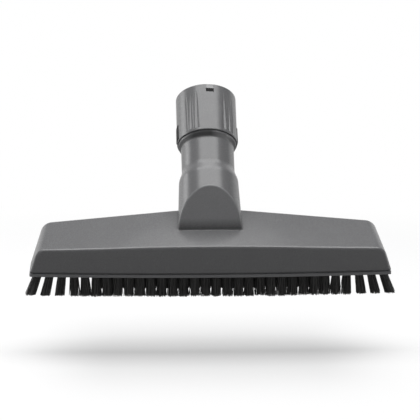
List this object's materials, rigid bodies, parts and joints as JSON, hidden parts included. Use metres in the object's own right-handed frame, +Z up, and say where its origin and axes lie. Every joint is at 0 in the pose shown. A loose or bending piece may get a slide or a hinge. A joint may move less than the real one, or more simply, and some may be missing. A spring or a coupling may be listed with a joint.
{
  "type": "vacuum cleaner floor brush head",
  "caption": "Wide low floor brush head with a leaning neck, a turning grip collar that takes a suction tube, side release rockers and rows of stiff bristle tufts under the hood.",
  "frame": {"origin": "middle of the footprint's box, on the floor under the bristle tips", "axes": "+X across the head, +Y from the bristle front towards the suction tube, +Z up from the floor"},
  "size_m": [0.2798, 0.1146, 0.1505],
  "materials": {
    "housing_plastic": "satin",
    "plate_plastic": "satin",
    "collar_plastic": "satin",
    "black_plastic": "satin",
    "bristle": "stiff filament",
    "seal_rubber": "matt",
    "screw_steel": "zinc plated",
    "anchor_wire": "drawn wire",
    "spring_steel": "bright"
  },
  "bodies": {
    "head": {"head_housing": "housing_plastic", "brush_plate": "plate_plastic", "plate_screws": "screw_steel", "front_row_tufts": "bristle", "left_end_tufts": "bristle", "right_end_tufts": "bristle", "rear_row_tufts": "bristle", "front_anchors": "anchor_wire", "rear_anchors": "anchor_wire"},
    "collar": {"grip_collar": "collar_plastic", "lock_sleeve": "black_plastic", "seal_ring": "seal_rubber", "rocker_spring_right": "spring_steel", "rocker_spring_left": "spring_steel"},
    "rocker_right": {"release_rocker_right": "black_plastic"},
    "rocker_left": {"release_rocker_left": "black_plastic"}
  },
  "joints": [
    {"name": "collar_swivel", "type": "hinge", "parent": "head", "child": "collar", "pos_m": [0, 0.01259, 0.1044], "axis": [0, 0.6691, 0.7431], "continuous": true},
    {"name": "rocker_right_press", "type": "hinge", "parent": "collar", "child": "rocker_right", "pos_m": [0.0209, 0.0228, 0.11263], "axis": [-0.0993, 0.7395, -0.6658], "range_deg": [0, 4], "stiffness_Nm_per_rad": 0.05, "springref_deg": -11.46, "deforming": ["rocker_spring_right"]},
    {"name": "rocker_left_press", "type": "hinge", "parent": "collar", "child": "rocker_left", "pos_m": [-0.0209, 0.0197, 0.11542], "axis": [0.0993, -0.7395, 0.6658], "range_deg": [0, 4], "stiffness_Nm_per_rad": 0.05, "springref_deg": -11.46, "deforming": ["rocker_spring_left"]}
  ]
}
